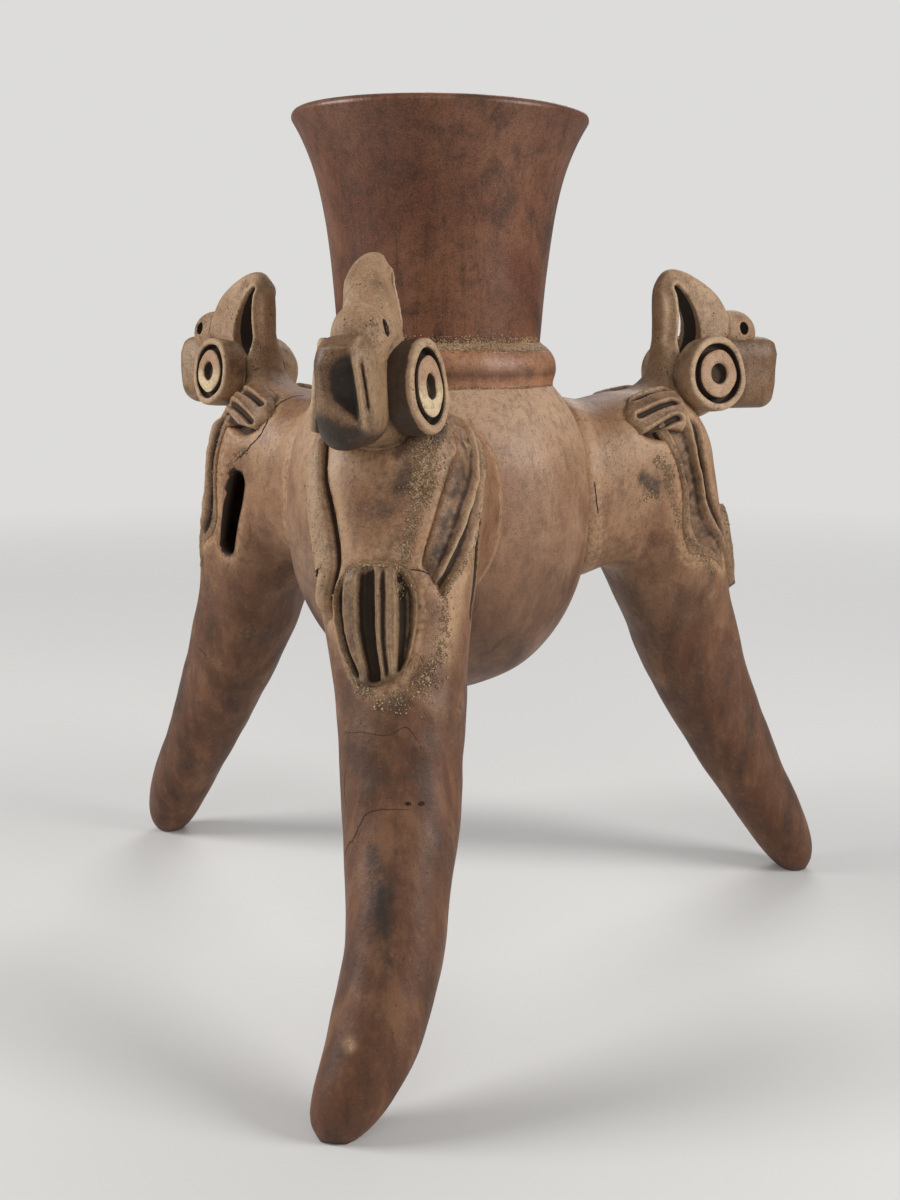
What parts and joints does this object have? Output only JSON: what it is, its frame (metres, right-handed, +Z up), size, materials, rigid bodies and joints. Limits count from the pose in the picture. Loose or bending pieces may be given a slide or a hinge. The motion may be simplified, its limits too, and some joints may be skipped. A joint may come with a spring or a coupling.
{
  "type": "tripod jar",
  "caption": "Fired clay jar with a round bowl, flared neck and hollow bent rattle legs, each carrying a modelled bird with a raised beak.",
  "frame": {"origin": "middle of the jar's bounding box on the floor plane that the feet stand on", "axes": "+Z up along the neck; the front leg points along -Y; +X to the right as seen from the front leg"},
  "size_m": [0.333, 0.2916, 0.3397],
  "materials": {
    "bowl_clay": "burnished tan-brown clay",
    "neck_slip": "burnished red-brown slip with dark mottling",
    "leg_clay": "rubbed brown clay, darker towards the feet",
    "bird_buff": "matt buff clay, pitted, dark in the grooves",
    "comb_umber": "matt dark umber clay",
    "button_cream": "matt cream clay",
    "pellet_clay": "rough unburnished clay"
  },
  "bodies": {
    "jar": {"bowl": "bowl_clay", "neck": "neck_slip", "collar_ring": "neck_slip", "front_leg": "leg_clay", "front_head": "bird_buff", "front_cere": "bird_buff", "front_comb": "comb_umber", "front_tail": "bird_buff", "front_eye_disc_right": "bird_buff", "front_eye_disc_left": "bird_buff", "front_eye_button_right": "button_cream", "front_eye_button_left": "button_cream", "front_arm_right": "bird_buff", "front_arm_left": "bird_buff", "front_claw_right": "bird_buff", "front_claw_left": "bird_buff", "right_leg": "leg_clay", "right_head": "bird_buff", "right_cere": "bird_buff", "right_comb": "comb_umber", "right_tail": "bird_buff", "right_eye_disc_right": "bird_buff", "right_eye_disc_left": "bird_buff", "right_eye_button_right": "button_cream", "right_eye_button_left": "button_cream", "right_arm_right": "bird_buff", "right_arm_left": "bird_buff", "right_claw_right": "bird_buff", "right_claw_left": "bird_buff", "left_leg": "leg_clay", "left_head": "bird_buff", "left_cere": "bird_buff", "left_comb": "comb_umber", "left_tail": "bird_buff", "left_eye_disc_right": "bird_buff", "left_eye_disc_left": "bird_buff", "left_eye_button_right": "button_cream", "left_eye_button_left": "button_cream", "left_arm_right": "bird_buff", "left_arm_left": "bird_buff", "left_claw_right": "bird_buff", "left_claw_left": "bird_buff"},
    "front_pellet_right": {"front_pellet_right": "pellet_clay"},
    "front_pellet_left": {"front_pellet_left": "pellet_clay"},
    "right_pellet_right": {"right_pellet_right": "pellet_clay"},
    "right_pellet_left": {"right_pellet_left": "pellet_clay"},
    "left_pellet_right": {"left_pellet_right": "pellet_clay"},
    "left_pellet_left": {"left_pellet_left": "pellet_clay"}
  },
  "joints": [
    {"name": "front_pellet_right_slide", "type": "slide", "parent": "jar", "child": "front_pellet_right", "axis": [0, 0.42, 0.9075], "range_m": [0, 0.07]},
    {"name": "front_pellet_left_slide", "type": "slide", "parent": "jar", "child": "front_pellet_left", "axis": [0, 0.42, 0.9075], "range_m": [0, 0.07]},
    {"name": "right_pellet_right_slide", "type": "slide", "parent": "jar", "child": "right_pellet_right", "axis": [-0.3637, -0.21, 0.9075], "range_m": [0, 0.07]},
    {"name": "right_pellet_left_slide", "type": "slide", "parent": "jar", "child": "right_pellet_left", "axis": [-0.3637, -0.21, 0.9075], "range_m": [0, 0.07]},
    {"name": "left_pellet_right_slide", "type": "slide", "parent": "jar", "child": "left_pellet_right", "axis": [0.3637, -0.21, 0.9075], "range_m": [0, 0.07]},
    {"name": "left_pellet_left_slide", "type": "slide", "parent": "jar", "child": "left_pellet_left", "axis": [0.3637, -0.21, 0.9075], "range_m": [0, 0.07]}
  ]
}
